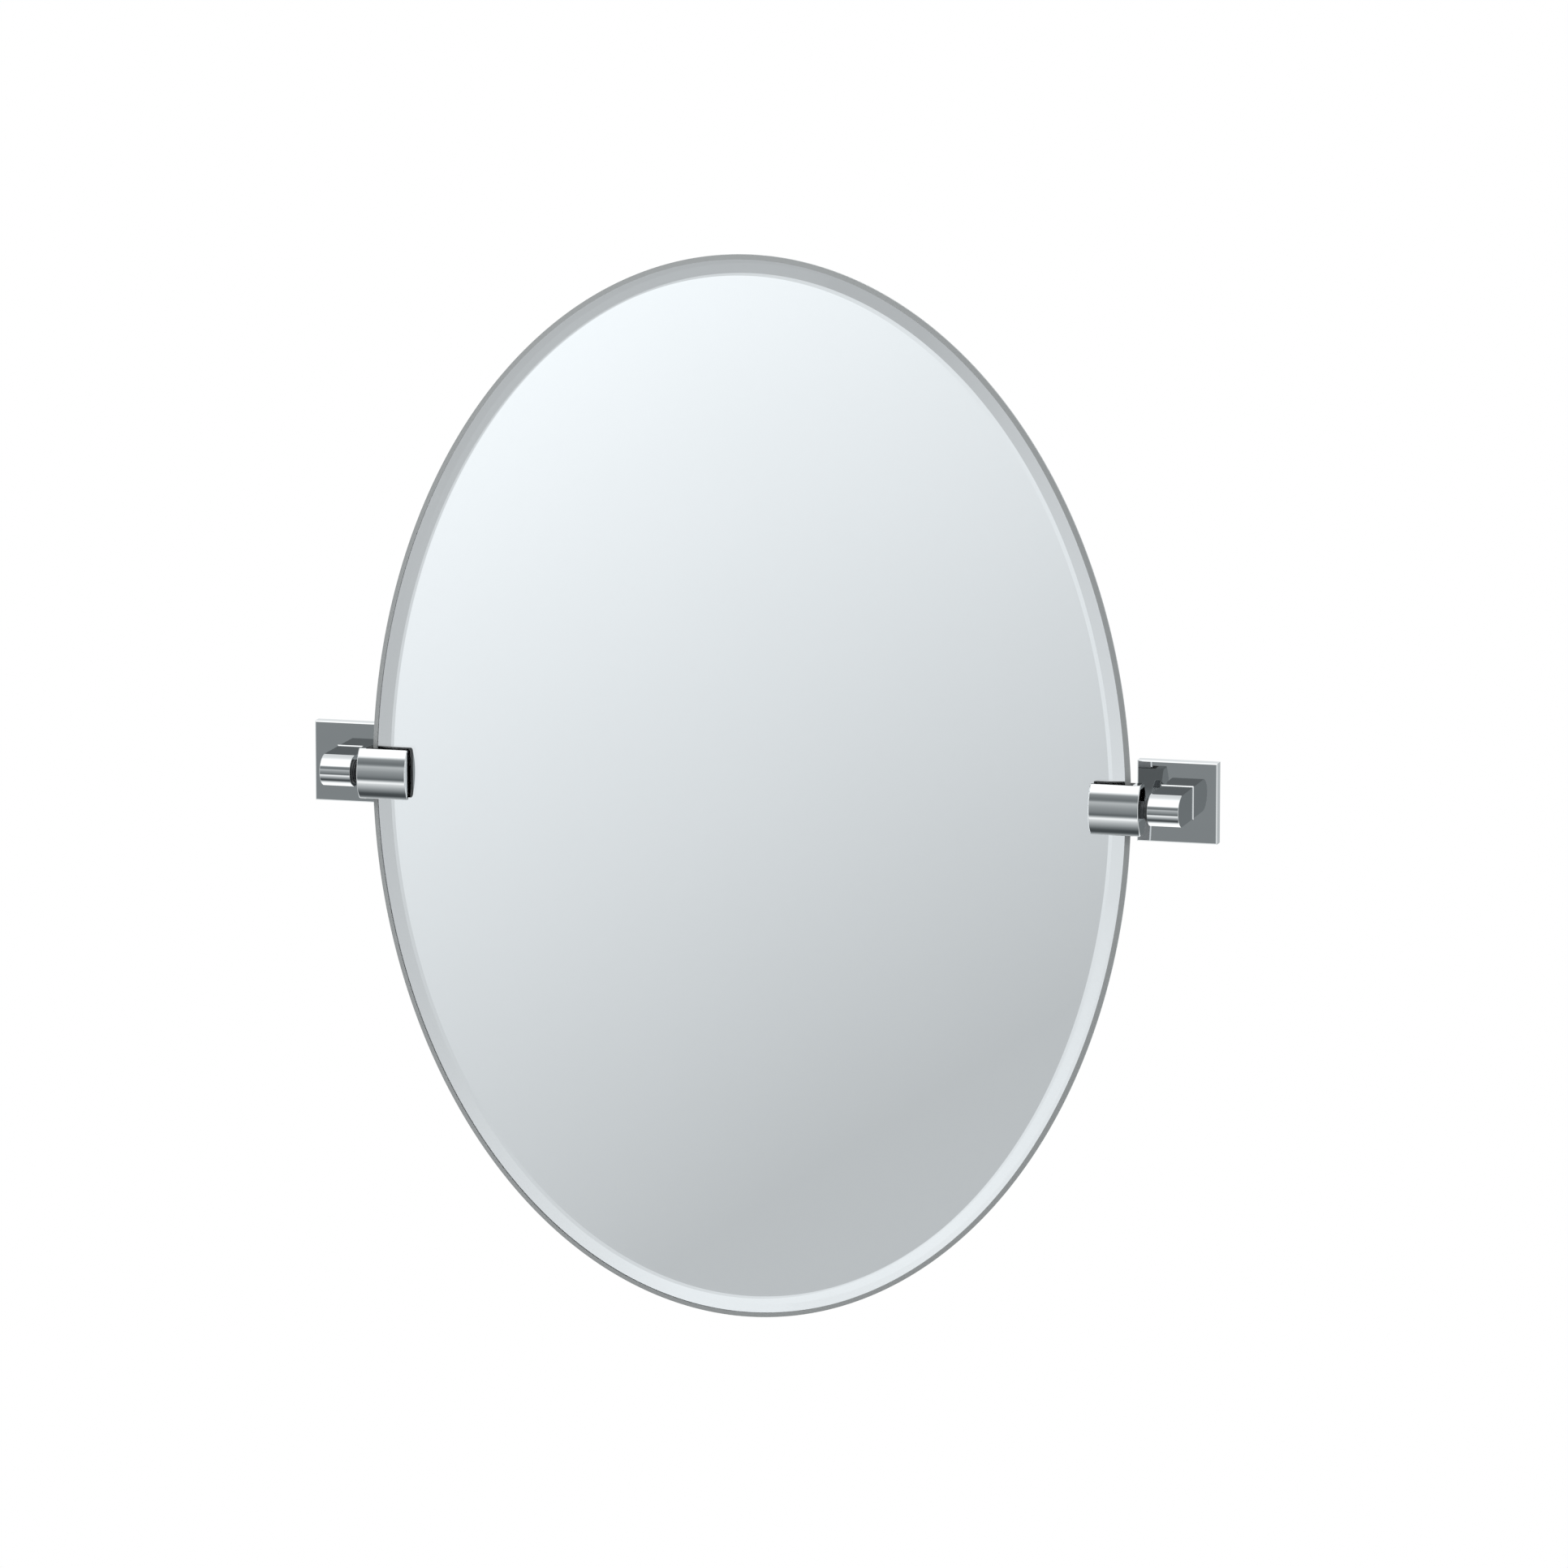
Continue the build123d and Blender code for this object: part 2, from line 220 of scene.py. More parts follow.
# %% Side boxes
SIDE_BOX = 1.0
SIDE_BOX_EDGE = (0.55, 0.75)  # how far a direction points along X where the box fades in
SIDE_GAP = 0.32
SIDE_GAP_EDGE = (0.10, 0.22)  # how far it points along Y where the gap fades out
aside = reckon(sky, (-600, -300), "ABSOLUTE", direction.outputs["X"])
in_side_box = reach(sky, (-400, -300), aside, SIDE_BOX_EDGE, interpolation_type="SMOOTHSTEP")
off_middle = reckon(sky, (-600, -500), "ABSOLUTE", direction.outputs["Y"])
out_of_gap = reach(sky, (-400, -500), off_middle, SIDE_GAP_EDGE, interpolation_type="SMOOTHSTEP")
side_light = mix(sky, (-150, -400), out_of_gap, (*cool(SIDE_GAP), 1), (*cool(SIDE_BOX), 1))
room_light = mix(sky, (100, 0), in_side_box, bands.outputs["Color"], side_light)
print("side boxes:", SIDE_BOX, "with a gap of", SIDE_GAP)

# %% [markdown]
# ### Light between chrome and chrome
# Where chrome faces chrome, light goes to and fro until it finds a way out. More bounces could be followed,
# but a render stops somewhere and then gives black. So from a ray's second chrome bounce on, it finds a dim
# light of its own, which grows with each further bounce to make up for those that aren't followed, and is
# stronger for rays that go down. Glossy Depth counts the bounce off the mirror's silver too, so a ray that
# has been in the pane has met chrome one time less.

# %% Second reflections
BETWEEN_CHROME = 0.22
BETWEEN_BOUNCES = (2, 6)
BETWEEN_GROWTH = (1, 4.5)  # the light is times this at the first and the last of those bounces
BETWEEN_SLANT = (-0.2, 0.2)  # how far a ray points up
BETWEEN_UPDOWN = (1.36, 0.86)  # and times this at those slants
YES = 0.5  # a count above this is at least one
ray = node(sky, "ShaderNodeLightPath", (-800, 400))
in_pane = reckon(sky, (-600, 500), "GREATER_THAN", ray.outputs["Transmission Depth"], YES)
chrome_bounces = reckon(sky, (-400, 400), "SUBTRACT", ray.outputs["Glossy Depth"], in_pane)
growth = reach(sky, (0, 250), chrome_bounces, BETWEEN_BOUNCES, BETWEEN_GROWTH)
slant = reach(sky, (0, 100), direction.outputs["Z"], BETWEEN_SLANT, BETWEEN_UPDOWN)
between = reckon_vector(sky, (300, 150), "SCALE", cool(BETWEEN_CHROME))
feed(sky, between.inputs["Scale"], reckon(sky, (200, 200), "MULTIPLY", growth, slant))
twice = reckon(sky, (-200, 250), "GREATER_THAN", chrome_bounces, 1 + YES)
found_light = mix(sky, (250, 0), twice, room_light, between.outputs[0])
print("second reflections find", BETWEEN_CHROME, "times", BETWEEN_GROWTH)

# %% [markdown]
# ### Who sees what
# A ray that has been in the pane and has met no chrome gets nothing from the room, because a graded card,
# described further down, is what the flat mirror shows. The camera itself sees plain white.

# %% World output
never = reckon(sky, (-200, 400), "LESS_THAN", chrome_bounces, YES)
pane_only = reckon(sky, (0, 450), "MULTIPLY", in_pane, never)
room_level = reckon(sky, (200, 450), "MULTIPLY_ADD", pane_only, -STUDIO_PEAK, STUDIO_PEAK)
room = node(sky, "ShaderNodeBackground", (450, 0))
feed(sky, room.inputs["Color"], found_light)
feed(sky, room.inputs["Strength"], room_level)
white = node(sky, "ShaderNodeBackground", (450, -200))
feed(sky, white.inputs["Color"], (1, 1, 1, 1))
feed(sky, white.inputs["Strength"], 1)
choose = node(sky, "ShaderNodeMixShader", (700, 0))
parts = (ray.outputs["Is Camera Ray"], room.outputs[0], white.outputs[0])
for socket, part in zip(choose.inputs, parts):
    feed(sky, socket, part)
feed(sky, node(sky, "ShaderNodeOutputWorld", (900, 0)).inputs[0], choose.outputs[0])
print("world:", len(sky.nodes), "nodes")

# %% [markdown]
# ## Finishes
# No real surface is one flat colour. Images could bring the variation, but noise in metres keeps its scale
# on every piece and has no seams. So each finish has one noise over the piece's own coordinates, and it
# shades the colour, the gloss and, where the surface isn't smooth, a fine relief.


# %% Finish helper
def make_finish(
    name, scale, dark, light, roughness, metallic=0, detail=3, stretch=(1, 1, 1), relief=None,
):
    """A material whose noise goes from dark to light, and from the first roughness to the second.

    Roughness can also be one number that is the same all over. Relief is a strength and a depth in metres.
    """
    made = bpy.data.materials.new(name)
    made.use_nodes = True
    tree = made.node_tree
    shader = tree.nodes["Principled BSDF"]
    mapping = node(tree, "ShaderNodeMapping", (-900, 0))
    feed(tree, mapping.inputs["Vector"], node(tree, "ShaderNodeTexCoord", (-1100, 0)).outputs["Object"])
    feed(tree, mapping.inputs["Scale"], stretch)
    noise = node(tree, "ShaderNodeTexNoise", (-700, 0))
    feed(tree, noise.inputs["Vector"], mapping.outputs[0])
    feed(tree, noise.inputs["Scale"], scale)
    feed(tree, noise.inputs["Detail"], detail)
    grain = noise.outputs[0]
    feed(tree, shader.inputs["Base Color"], mix(tree, (-450, 100), grain, (*dark, 1), (*light, 1)))
    feed(tree, shader.inputs["Metallic"], metallic)
    if isinstance(roughness, tuple):
        roughness = reach(tree, (-450, -200), grain, new=roughness)
    feed(tree, shader.inputs["Roughness"], roughness)
    if relief:
        bump = node(tree, "ShaderNodeBump", (-250, -400))
        for key, part in zip(("Strength", "Distance", "Height"), (*relief, grain)):
            feed(tree, bump.inputs[key], part)
        feed(tree, shader.inputs["Normal"], bump.outputs[0])
    print("finish:", name)
    return made


# %% [markdown]
# ### Chrome
# Clamps, posts and plates are polished chrome, a neutral mirror. A perfect one would look computed, so
# faint wipe marks, as cloths and thumbs leave them, run through its gloss.

# %% Chrome
chrome = make_finish(
    "polished_chrome", scale=60, dark=(0.70, 0.70, 0.70), light=(0.72, 0.72, 0.72),
    roughness=(0.015, 0.045), metallic=1, detail=4, stretch=(1, 1, 3),
)

# %% [markdown]
# ### Steel
# The hidden brackets, screws and washers are zinc-plated: a pale metal with a fine cloudy grain. The pin
# and spring washer of the pivot are painted near black as painted shade: they stand for the shade of the
# gap between clamp and post, where bright metal would flash.

# %% Steel
steel = make_finish(
    "zinc_plated_steel", scale=900, dark=(0.42, 0.43, 0.45), light=(0.60, 0.61, 0.62),
    roughness=(0.22, 0.42), metallic=1, detail=5, relief=(0.15, 0.05 * MM),
)
# painted shade: a near-black steel that stands for the shade in the gap between clamp and post
gap_shade_steel = make_finish(
    "steel_painted_gap_shade", scale=1200, dark=(0.075, 0.077, 0.08), light=(0.13, 0.133, 0.138),
    roughness=(0.3, 0.5), metallic=0.6, detail=4,
)

# %% [markdown]
# ### Rubber and nylon
# Each gasket is black rubber with a dull, slightly dusty skin. The bush that the pin turns in is dark grey
# moulded nylon, which has a soft sheen and faint marks where the melt flowed.

# %% Rubber and nylon
rubber = make_finish(
    "gasket_rubber", scale=1500, dark=(0.006, 0.006, 0.006), light=(0.02, 0.02, 0.021),
    roughness=(0.55, 0.8), detail=6, relief=(0.4, 0.1 * MM),
)
nylon = make_finish(
    "moulded_nylon", scale=700, dark=(0.020, 0.021, 0.022), light=(0.038, 0.040, 0.042),
    roughness=(0.38, 0.5), detail=2, stretch=(1, 1, 0.3),
)

# %% [markdown]
# ### Glass, silver and paint
# A mirror could be one shiny sheet. The real one is glass with silver behind it: light goes through the
# 5 mm of glass, off the silver and out again, which is why the clamps' gaskets show twice and why the
# ground bevel, a shallow prism, shows another part of the room than the flat does. So the pane gets three
# finishes: clear glass, whose faint green-blue tint is a touch uneven as in every sheet, satin where the
# wheel ground the edge, and silver. The back is painted over with a roller.

# %% Glass, silver and paint
GLASS_IOR = 1.52
clear_glass = make_finish(
    "clear_glass", scale=5, dark=(0.983, 0.994, 0.994), light=(0.987, 0.996, 0.996),
    roughness=0, detail=2,
)
glass_shader = clear_glass.node_tree.nodes["Principled BSDF"]
glass_shader.inputs["Transmission Weight"].default_value = 1
glass_shader.inputs["IOR"].default_value = GLASS_IOR
silver = make_finish(
    "mirror_silver", scale=6, dark=(0.93, 0.95, 0.955), light=(0.95, 0.97, 0.975),
    roughness=0, metallic=1, detail=2,
)
ground_glass = make_finish(
    "ground_glass", scale=2500, dark=(0.245, 0.250, 0.249), light=(0.295, 0.301, 0.300),
    roughness=(0.35, 0.5), detail=4, relief=(0.2, 0.05 * MM),
)
backing_paint = make_finish(
    "backing_paint", scale=420, dark=(0.28, 0.29, 0.30), light=(0.35, 0.36, 0.37),
    roughness=(0.5, 0.65), detail=5, relief=(0.3, 0.1 * MM),
)

# %% [markdown]
# ## Working on one piece
# Operators act on whatever is selected, and loading the frame leaves its nodes selected. So each helper
# first makes one object the only selected one, and faces and edges are then picked by their place.


# %% Selecting
def only(piece):
    """Make one object the selected and active one."""
    if bpy.context.object and bpy.context.object.mode != "OBJECT":
        bpy.ops.object.mode_set(mode="OBJECT")
    bpy.ops.object.select_all(action="DESELECT")
    piece.select_set(True)
    bpy.context.view_layer.objects.active = piece


def start(name):
    """Name the primitive that was just added and bake its place into its mesh."""
    piece = bpy.context.object
    piece.name = piece.data.name = name
    only(piece)
    bpy.ops.object.transform_apply(location=True, rotation=True, scale=True)
    return piece


def pick(piece, kind, test):
    """Go to edit mode with only those faces, edges or vertices selected that pass the test.

    The test gets the place of each, and a face's or vertex's normal or an edge's direction.
    """
    only(piece)
    bpy.ops.object.mode_set(mode="EDIT")
    bpy.ops.mesh.select_mode(type=kind)
    bpy.ops.mesh.select_all(action="DESELECT")
    bpy.ops.object.mode_set(mode="OBJECT")
    mesh = piece.data
    if kind == "FACE":
        for face in mesh.polygons:
            face.select = test(face.center, face.normal)
    elif kind == "EDGE":
        for edge in mesh.edges:
            first, second = (mesh.vertices[v].co for v in edge.vertices)
            edge.select = test((first + second) / 2, (second - first).normalized())
    else:
        for vertex in mesh.vertices:
            vertex.select = test(vertex.co, vertex.normal)
    bpy.ops.object.mode_set(mode="EDIT")


# %% Closing and measuring
TOUCH = 0.001 * MM  # points nearer than this are one point


def close_solid():
    """Merge what touches, face all outwards and go back to object mode."""
    bpy.ops.mesh.select_all(action="SELECT")
    bpy.ops.mesh.remove_doubles(threshold=TOUCH)
    bpy.ops.mesh.normals_make_consistent(inside=False)
    bpy.ops.object.mode_set(mode="OBJECT")


def report(piece):
    """Print a piece's size, so that a reader can compare it with the real one."""
    size = [round(length / MM, 2) for length in piece.dimensions]
    print(f"{piece.name}: {len(piece.data.polygons)} faces, {size} mm")


# %% [markdown]
# ## The pane
# The pane is cut to an oval, its edge is ground upright with a short steep arris, and a wide shallow bevel
# runs round its front. A bevel modifier could slope the edge, but each slope here has a width and a height
# of its own. So the oval starts as a filled circle that is stretched to size, and its face is pulled
# forward for the upright edge, then forward and inwards twice, for the arris and for the bevel.

# %% Shaping an oval
PANE_SEGMENTS = 384


def oval_disc(name, y, half_width, half_height):
    """A filled oval at y that faces the room, selected in edit mode."""
    bpy.ops.object.select_all(action="DESELECT")
    bpy.ops.mesh.primitive_circle_add(
        vertices=PANE_SEGMENTS, radius=1, fill_type="NGON",
        location=(0, y, 0), rotation=(math.pi / 2, 0, 0),
    )
    bpy.context.object.scale = (half_width, half_height, 1)
    disc = start(name)
    pick(disc, "FACE", lambda centre, normal: True)
    return disc


def half_sizes(low, high):
    """Half the width and height of an oval that is centred on the pivot axis and inside this box."""
    return min(-low.x, high.x), min(-low.z, high.z)


def pull_face(distance, scale=(1, 1, 1)):
    """Extrude the selected face into the room and scale it about the pane's middle."""
    bpy.ops.mesh.extrude_region_move(TRANSFORM_OT_translate={"value": (0, -distance, 0)})
    bpy.ops.transform.resize(value=scale, center_override=(0, 0, 0))


# %% Pane
EDGE_HEIGHT = 1.5 * MM
ARRIS_WIDTH = 3.0 * MM
ARRIS_HEIGHT = 2.6 * MM  # from the back, so it ends where the bevel starts
BEVEL_WIDTH = 12.7 * MM
SMOOTH_BELOW = math.radians(4)  # the oval's own facets are smoothed, its ground corners aren't
half_width, half_height = half_sizes(glass_low, glass_high)


def oval_scale(inset, outer_inset=0.0):
    """Scale in X and Z that takes one oval, set in from the edge, to another."""
    return (
        (half_width - inset) / (half_width - outer_inset), 1,
        (half_height - inset) / (half_height - outer_inset),
    )


pane = oval_disc("bevelled_pane", glass_high.y, half_width, half_height)
pull_face(EDGE_HEIGHT)
pull_face(ARRIS_HEIGHT - EDGE_HEIGHT, oval_scale(ARRIS_WIDTH))
pull_face(glass_high.y - glass_low.y - ARRIS_HEIGHT, oval_scale(BEVEL_WIDTH, ARRIS_WIDTH))
close_solid()
bpy.ops.object.shade_smooth_by_angle(angle=SMOOTH_BELOW)

# %% Finishes of the pane
FACING = 0.9  # a face looks along an axis if its normal has more than this of it
for finish in (clear_glass, silver, ground_glass):
    pane.data.materials.append(finish)
bevel_start = glass_high.y - ARRIS_HEIGHT
for face in pane.data.polygons:
    if face.normal.y > FACING:
        face.material_index = 1
    elif face.center.y > bevel_start:
        face.material_index = 2
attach(pane, "mirror")
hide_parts("mirror_glass")
report(pane)
counts = [sum(face.material_index == index for face in pane.data.polygons) for index in range(3)]
print(counts, "faces per finish")

# %% [markdown]
# ## The backing
# Behind the silver lies a film of paint, which is all that one sees of the mirror from behind. The film
# could be a finish on the back of the glass, but the frame has it as a piece of its own. It is an oval disc
# as the pane is. A hair's gap keeps it off the silver, because two surfaces in one place would blotch.

# %% Backing
BACKING_GAP = 0.04 * MM
backing_low, backing_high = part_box("mirror_backing")
backing = oval_disc("painted_backing", backing_high.y, *half_sizes(backing_low, backing_high))
pull_face(backing_high.y - backing_low.y - BACKING_GAP)
close_solid()
backing.data.materials.append(backing_paint)
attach(backing, "mirror")
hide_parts("mirror_backing")
report(backing)

# %% [markdown]
# ## Outlines
# Clamps and posts are bars with a shaped section. Cubes and cylinders could be joined into them, but a
# section that is drawn keeps its arcs clean, and clean arcs make clean stripes in chrome. It is drawn as an
# outline in a plane across the pivot axis: one vertex is spun round each arc's centre and pulled along each
# straight, and the closed outline is filled. Points are (y, z), with y counted from the pivot axis towards
# the wall.

# %% Drawing an outline
SEED = 1 * MM


def outline_start(name, x, point):
    """A single vertex at a point of the section, selected in edit mode."""
    bpy.ops.object.select_all(action="DESELECT")
    bpy.ops.mesh.primitive_plane_add(size=SEED)
    piece = start(name)
    pick(piece, "VERT", lambda co, normal: co.x + co.y > -SEED / 2)
    bpy.ops.mesh.delete(type="VERT")
    bpy.ops.object.mode_set(mode="OBJECT")
    piece.data.vertices[0].co = (x, pivot.y + point[0], point[1])
    pick(piece, "VERT", lambda co, normal: True)
    return piece


def line_by(run, rise):
    """Pull the last vertex straight on."""
    bpy.ops.mesh.extrude_vertices_move(TRANSFORM_OT_translate={"value": (0, run, rise)})


def arc_about(centre, turn, steps):
    """Carry the last vertex round a centre, clockwise as seen from +X with the wall on the right."""
    bpy.ops.mesh.spin(steps=steps, angle=turn, axis=(1, 0, 0), center=(0, pivot.y + centre[0], centre[1]))


def fill_outline():
    """Close the outline, fill it and leave its face selected."""
    bpy.ops.mesh.select_all(action="SELECT")
    bpy.ops.mesh.remove_doubles(threshold=2 * TOUCH)
    bpy.ops.mesh.edge_face_add()


def pull_along(distance):
    """Extrude the selected faces along the pivot axis."""
    bpy.ops.mesh.extrude_region_move(TRANSFORM_OT_translate={"value": (distance, 0, 0)})


# %% [markdown]
# ## Clamps
# A clamp is a short bar whose section has two shallow arcs, front and back, with a flat top and bottom and
# small round corners between them. Its slot could be cut out with a boolean, but that can leave slivers,
# which chrome shows. Here the end wall is pulled outwards from the full section and the two jaws inwards
# from its front and back parts, so the slot between them is simply left open. Then the rims are rounded.

# %% Clamp section
FACE_RADIUS = 24 * MM
CORNER_RADIUS = 1.2 * MM
ARC_STEPS = 80
CORNER_STEPS = 6
clamp_low, clamp_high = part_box("right_clamp")
arc_centre = FACE_RADIUS - (clamp_high.y - clamp_low.y) / 2
corner_z = (clamp_high.z - clamp_low.z) / 2 - CORNER_RADIUS
corner_y = math.sqrt((FACE_RADIUS - CORNER_RADIUS) ** 2 - corner_z ** 2) - arc_centre
half_turn = math.asin(corner_z / (FACE_RADIUS - CORNER_RADIUS))
corner_turn = math.pi / 2 - half_turn


def draw_clamp_section(name, x):
    """The clamp's filled section, from the lower front corner up the front and round."""
    lower_front = (arc_centre - FACE_RADIUS * math.cos(half_turn), -FACE_RADIUS * math.sin(half_turn))
    clamp = outline_start(name, x, lower_front)
    arc_about((arc_centre, 0), 2 * half_turn, ARC_STEPS)
    arc_about((-corner_y, corner_z), corner_turn, CORNER_STEPS)
    line_by(2 * corner_y, 0)
    arc_about((corner_y, corner_z), corner_turn, CORNER_STEPS)
    arc_about((-arc_centre, 0), 2 * half_turn, ARC_STEPS)
    arc_about((corner_y, -corner_z), corner_turn, CORNER_STEPS)
    line_by(-2 * corner_y, 0)
    arc_about((-corner_y, -corner_z), corner_turn, CORNER_STEPS)
    fill_outline()
    return clamp


print("clamp section: arcs over", round(math.degrees(2 * half_turn), 1), "degrees")


# %% Polishing
LARGEST_FACES = 100  # the weight at which a corner's shading follows its largest faces most


def polish(piece, smooth_below):
    """Smooth over all edges but those sharper than this, in degrees, and keep the flat faces flat."""
    only(piece)
    bpy.ops.object.shade_smooth_by_angle(angle=math.radians(smooth_below))
    weighted = piece.modifiers.new("Flat faces", "WEIGHTED_NORMAL")
    weighted.keep_sharp = True
    weighted.weight = LARGEST_FACES
    bpy.ops.object.modifier_apply(modifier=weighted.name)


# %% Clamps
RIM_RADIUS = 0.9 * MM
RIM_SEGMENTS = 6
POLISH_BELOW = 35
ACROSS = 0.5  # an edge runs across the pivot axis if its direction has less than this of X
gasket_low, gasket_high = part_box("right_clamp_gasket")
slot_half = (gasket_high.y - gasket_low.y) / 2


def make_clamp(side, sign):
    """One slotted clamp."""
    inner_x = sign * clamp_low.x
    root_x = sign * gasket_high.x
    outer_x = sign * clamp_high.x
    clamp = draw_clamp_section(f"{side}_chrome_clamp", root_x)
    for slot_wall in (pivot.y - slot_half, pivot.y + slot_half):
        bpy.ops.mesh.select_all(action="SELECT")
        bpy.ops.mesh.bisect(plane_co=(root_x, slot_wall, 0), plane_no=(0, 1, 0))
    bpy.ops.mesh.select_all(action="SELECT")
    pull_along(outer_x - root_x)
    bpy.ops.object.mode_set(mode="OBJECT")

    def on_jaw(centre, normal):
        return abs(centre.x - root_x) < TOUCH and abs(centre.y - pivot.y) > slot_half

    def on_end(centre, normal):
        return abs(centre.x - outer_x) < TOUCH

    def on_rim(centre, along):
        on_slot_wall = abs(abs(centre.y - pivot.y) - slot_half) < TOUCH
        on_jaw_tip = abs(centre.x - inner_x) < TOUCH and not on_slot_wall
        return abs(along.x) < ACROSS and (abs(centre.x - outer_x) < TOUCH or on_jaw_tip)

    pick(clamp, "FACE", on_jaw)
    pull_along(inner_x - root_x)
    close_solid()
    pick(clamp, "FACE", on_end)
    bpy.ops.mesh.dissolve_faces()
    bpy.ops.object.mode_set(mode="OBJECT")
    pick(clamp, "EDGE", on_rim)
    bpy.ops.mesh.bevel(offset=RIM_RADIUS, segments=RIM_SEGMENTS, affect="EDGES")
    close_solid()
    polish(clamp, POLISH_BELOW)
    clamp.data.materials.append(chrome)
    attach(clamp, "mirror")
    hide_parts(f"{side}_clamp")
    return clamp


for side, sign in SIDES.items():
    report(make_clamp(side, sign))

# %% [markdown]
# ## Posts
# A post is a square bar whose free end is half an ellipse. A box with a bevelled end would end in a plain
# half circle, and its stripes would lie elsewhere. So the outline's half circle is stretched before the
# rest is drawn. Where the post stands on its plate, it spreads in a narrow sloping foot that catches a thin
# line of light.

# %% Posts
POST_EDGE = 0.4 * MM
POST_EDGE_SEGMENTS = 4
POST_WIDTH = 20 * MM
NOSE_LENGTH = 12 * MM
NOSE_STEPS = 72
ROOT_FLARE = 0.6 * MM
post_low, post_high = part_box("right_post")
plate_front_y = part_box("right_base_plate")[0].y
post_half_height = post_high.z - ROOT_FLARE
post_middle_x = (post_low.x + post_high.x) / 2
nose_start = post_low.y + NOSE_LENGTH - pivot.y
foot_y = plate_front_y - ROOT_FLARE


def draw_post_section(name, x):
    """The post's filled section, from under the nose up its front and round."""
    post = outline_start(name, x, (nose_start, -post_half_height))
    arc_about((nose_start, 0), math.pi, NOSE_STEPS)
    bpy.ops.mesh.select_all(action="SELECT")
    bpy.ops.transform.resize(
        value=(1, NOSE_LENGTH / post_half_height, 1), center_override=(0, pivot.y + nose_start, 0),
    )
    bpy.ops.object.mode_set(mode="OBJECT")
    pick(post, "VERT", lambda co, normal: co.z > post_half_height - TOUCH)
    line_by(foot_y - pivot.y - nose_start, 0)
    line_by(0, -2 * post_half_height)
    fill_outline()
    return post


# %% Making the posts
def make_post(side, sign):
    """One nosed post, without its hidden bores."""
    middle = sign * post_middle_x
    post = draw_post_section(f"{side}_chrome_post", middle - POST_WIDTH / 2)
    pull_along(POST_WIDTH)
    close_solid()
    pick(post, "EDGE", lambda centre, along: abs(along.x) < ACROSS and centre.y < foot_y - TOUCH)
    bpy.ops.mesh.bevel(offset=POST_EDGE, segments=POST_EDGE_SEGMENTS, affect="EDGES")
    bpy.ops.object.mode_set(mode="OBJECT")
    pick(post, "FACE", lambda centre, normal: normal.y > FACING)
    bpy.ops.mesh.extrude_region_move(TRANSFORM_OT_translate={"value": (0, ROOT_FLARE, 0)})
    bpy.ops.transform.resize(
        value=(1 + 2 * ROOT_FLARE / POST_WIDTH, 1, 1 + ROOT_FLARE / post_half_height),
        center_override=(middle, plate_front_y, 0),
    )
    close_solid()
    polish(post, POLISH_BELOW)
    post.data.materials.append(chrome)
    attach(post, "wall_side")
    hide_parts(f"{side}_post")
    return post


for side, sign in SIDES.items():
    report(make_post(side, sign))

# %% [markdown]
# ## Base plates
# A plate is square, with a small chamfer round its front. The frame has that shape right, but its edges are
# perfectly sharp, and real polished edges catch the light. So each plate is a copy of its node, merged and
# with its edges a little softened.

# %% Base plates
PLATE_EDGE = 0.15 * MM
PLATE_EDGE_SEGMENTS = 2
PLATE_SHARP = 25  # degrees: edges above this are softened
PLATE_POLISH_BELOW = 30
COPLANAR = math.radians(0.5)  # faces that meet at less than this are one flat face


def make_plate(side):
    """A softened copy of one base plate, in the node's place."""
    node_name = f"{side}_base_plate"
    plate = frame["nodes"][node_name].copy()
    plate.data = plate.data.copy()
    plate.name = plate.data.name = f"{side}_square_plate"
    for key in list(plate.keys()):
        del plate[key]  # these keys would mark the copy as a node of the frame
    plate.parent = None
    bpy.context.scene.collection.objects.link(plate)
    only(plate)
    bpy.ops.mesh.customdata_custom_splitnormals_clear()
    bpy.ops.object.mode_set(mode="EDIT")
    bpy.ops.mesh.select_all(action="SELECT")
    bpy.ops.mesh.remove_doubles(threshold=TOUCH)
    bpy.ops.mesh.dissolve_limited(angle_limit=COPLANAR)
    bpy.ops.object.mode_set(mode="OBJECT")
    soft_edge = plate.modifiers.new("Soft edge", "BEVEL")
    soft_edge.width = PLATE_EDGE
    soft_edge.segments = PLATE_EDGE_SEGMENTS
    soft_edge.limit_method = "ANGLE"
    soft_edge.angle_limit = math.radians(PLATE_SHARP)
    soft_edge.use_clamp_overlap = True
    bpy.ops.object.modifier_apply(modifier=soft_edge.name)
    polish(plate, PLATE_POLISH_BELOW)
    plate.data.materials.clear()
    plate.data.materials.append(chrome)
    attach(plate, "wall_side")
    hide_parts(node_name)
    return plate


for side in SIDES:
    report(make_plate(side))

# %% [markdown]
# ## Small parts
# Brackets, screws, gaskets and the small pieces of the pivot are nearly hidden, and the frame has their
# shapes right. To model them again would gain nothing, so each keeps its shape and only gets its finish.

# %% Finishes of the frame's own nodes
NODE_FINISHES = {
    "wall_bracket": steel, "lock_screw": steel, "post_screw": steel, "post_washer": steel,
    # the pin and spring washer get the near-black painted shade of the gap between clamp and post
    "pressure_plate": steel, "clamp_screws": steel, "pivot_pin": gap_shade_steel, "spring_washer": gap_shade_steel,
    "pivot_bush": nylon, "clamp_gasket": rubber,
}
for side in SIDES:
    for name, finish in NODE_FINISHES.items():
        mesh = frame["nodes"][f"{side}_{name}"].data
        mesh.materials.clear()
        mesh.materials.append(finish)
print(len(NODE_FINISHES) * len(SIDES), "frame nodes given a finish")

# %% [markdown]
# ## Floor and lamp
# A pale floor lies well below the mirror. A plain plane would hide the mirror from one who looks up from
# below, so its underside can be looked through. One large soft lamp overhead gives the dull pieces a plain
# light, where small ones would throw hard shadows. Chrome and glass show neither floor nor lamp: the studio
# world and the card are all that they reflect.

